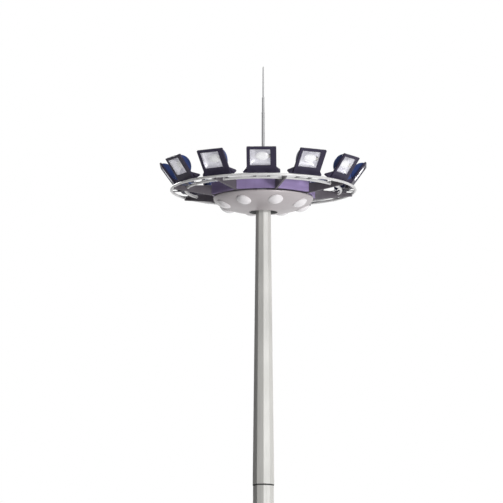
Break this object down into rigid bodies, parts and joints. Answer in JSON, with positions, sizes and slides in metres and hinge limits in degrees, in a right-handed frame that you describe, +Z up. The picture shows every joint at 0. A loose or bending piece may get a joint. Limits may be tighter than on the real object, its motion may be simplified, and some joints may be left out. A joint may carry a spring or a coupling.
{
  "type": "high mast floodlight tower",
  "caption": "Tapered ten-sided steel mast carrying a ring of tilting floodlights on a lowering carriage with an octagonal drum, a domed bowl with lenses and a lightning rod.",
  "frame": {"origin": "centre of the underside of the base flange, where the mast stands on its foundation", "axes": "+Z up the mast; -Y is the front, and one floodlight faces that way within 1.2 degrees; +X is to the right seen from the front"},
  "size_m": [3.9472, 3.9472, 22.4],
  "materials": {
    "mast_steel": "satin galvanised and clear-coated steel",
    "ring_steel": "bright galvanised tube",
    "arm_steel": "satin dark grey paint",
    "drum_paint": "gloss violet-grey paint",
    "bowl_paint": "satin warm grey paint on spun aluminium",
    "lens_acrylic": "glossy opal acrylic",
    "lamp_paint": "satin dark navy paint on die-cast aluminium",
    "lamp_glass": "clear toughened glass",
    "zinc_steel": "zinc plated",
    "cap_sheet": "satin aluminium sheet",
    "roller_rubber": "matt black",
    "rope_steel": "stranded stainless wire"
  },
  "bodies": {
    "mast": {"base_flange": "mast_steel", "base_gussets": "mast_steel", "mast_section_1": "mast_steel", "mast_section_2": "mast_steel", "mast_section_3": "mast_steel", "mast_section_4": "mast_steel", "access_door_frame": "mast_steel", "access_door": "mast_steel", "head_plate": "mast_steel", "head_pulley_cheeks": "zinc_steel", "head_pulleys": "zinc_steel", "head_ropes": "rope_steel", "rain_cap": "cap_sheet", "lightning_rod": "ring_steel"},
    "carriage": {"outer_ring": "ring_steel", "inner_ring": "ring_steel", "radial_arms": "arm_steel", "octagonal_drum": "drum_paint", "bowl": "bowl_paint", "bowl_lenses": "lens_acrylic", "guide_collar": "zinc_steel", "guide_rollers": "roller_rubber", "roller_carriers": "zinc_steel", "hoist_rope_ends": "rope_steel", "floodlight_brackets": "zinc_steel"},
    "floodlight_01": {"floodlight_01_housing": "lamp_paint", "floodlight_01_glass": "lamp_glass"},
    "floodlight_02": {"floodlight_02_housing": "lamp_paint", "floodlight_02_glass": "lamp_glass"},
    "floodlight_03": {"floodlight_03_housing": "lamp_paint", "floodlight_03_glass": "lamp_glass"},
    "floodlight_04": {"floodlight_04_housing": "lamp_paint", "floodlight_04_glass": "lamp_glass"},
    "floodlight_05": {"floodlight_05_housing": "lamp_paint", "floodlight_05_glass": "lamp_glass"},
    "floodlight_06": {"floodlight_06_housing": "lamp_paint", "floodlight_06_glass": "lamp_glass"},
    "floodlight_07": {"floodlight_07_housing": "lamp_paint", "floodlight_07_glass": "lamp_glass"},
    "floodlight_08": {"floodlight_08_housing": "lamp_paint", "floodlight_08_glass": "lamp_glass"},
    "floodlight_09": {"floodlight_09_housing": "lamp_paint", "floodlight_09_glass": "lamp_glass"},
    "floodlight_10": {"floodlight_10_housing": "lamp_paint", "floodlight_10_glass": "lamp_glass"},
    "floodlight_11": {"floodlight_11_housing": "lamp_paint", "floodlight_11_glass": "lamp_glass"},
    "floodlight_12": {"floodlight_12_housing": "lamp_paint", "floodlight_12_glass": "lamp_glass"}
  },
  "joints": [
    {"name": "carriage_lower", "type": "slide", "parent": "mast", "child": "carriage", "axis": [0, 0, -1], "range_m": [0, 18.2]},
    {"name": "floodlight_01_tilt", "type": "hinge", "parent": "carriage", "child": "floodlight_01", "pos_m": [1.59265, -0.03336, 20.0775], "axis": [0.0209, 0.9998, 0], "range_deg": [-25, 15]},
    {"name": "floodlight_02_tilt", "type": "hinge", "parent": "carriage", "child": "floodlight_02", "pos_m": [1.39596, 0.76743, 20.0775], "axis": [-0.4818, 0.8763, 0], "range_deg": [-25, 15]},
    {"name": "floodlight_03_tilt", "type": "hinge", "parent": "carriage", "child": "floodlight_03", "pos_m": [0.82522, 1.3626, 20.0775], "axis": [-0.8554, 0.518, 0], "range_deg": [-25, 15]},
    {"name": "floodlight_04_tilt", "type": "hinge", "parent": "carriage", "child": "floodlight_04", "pos_m": [0.03336, 1.59265, 20.0775], "axis": [-0.9998, 0.0209, 0], "range_deg": [-25, 15]},
    {"name": "floodlight_05_tilt", "type": "hinge", "parent": "carriage", "child": "floodlight_05", "pos_m": [-0.76743, 1.39596, 20.0775], "axis": [-0.8763, -0.4818, 0], "range_deg": [-25, 15]},
    {"name": "floodlight_06_tilt", "type": "hinge", "parent": "carriage", "child": "floodlight_06", "pos_m": [-1.3626, 0.82522, 20.0775], "axis": [-0.518, -0.8554, 0], "range_deg": [-25, 15]},
    {"name": "floodlight_07_tilt", "type": "hinge", "parent": "carriage", "child": "floodlight_07", "pos_m": [-1.59265, 0.03336, 20.0775], "axis": [-0.0209, -0.9998, 0], "range_deg": [-25, 15]},
    {"name": "floodlight_08_tilt", "type": "hinge", "parent": "carriage", "child": "floodlight_08", "pos_m": [-1.39596, -0.76743, 20.0775], "axis": [0.4818, -0.8763, 0], "range_deg": [-25, 15]},
    {"name": "floodlight_09_tilt", "type": "hinge", "parent": "carriage", "child": "floodlight_09", "pos_m": [-0.82522, -1.3626, 20.0775], "axis": [0.8554, -0.518, 0], "range_deg": [-25, 15]},
    {"name": "floodlight_10_tilt", "type": "hinge", "parent": "carriage", "child": "floodlight_10", "pos_m": [-0.03336, -1.59265, 20.0775], "axis": [0.9998, -0.0209, 0], "range_deg": [-25, 15]},
    {"name": "floodlight_11_tilt", "type": "hinge", "parent": "carriage", "child": "floodlight_11", "pos_m": [0.76743, -1.39596, 20.0775], "axis": [0.8763, 0.4818, 0], "range_deg": [-25, 15]},
    {"name": "floodlight_12_tilt", "type": "hinge", "parent": "carriage", "child": "floodlight_12", "pos_m": [1.3626, -0.82522, 20.0775], "axis": [0.518, 0.8554, 0], "range_deg": [-25, 15]}
  ]
}
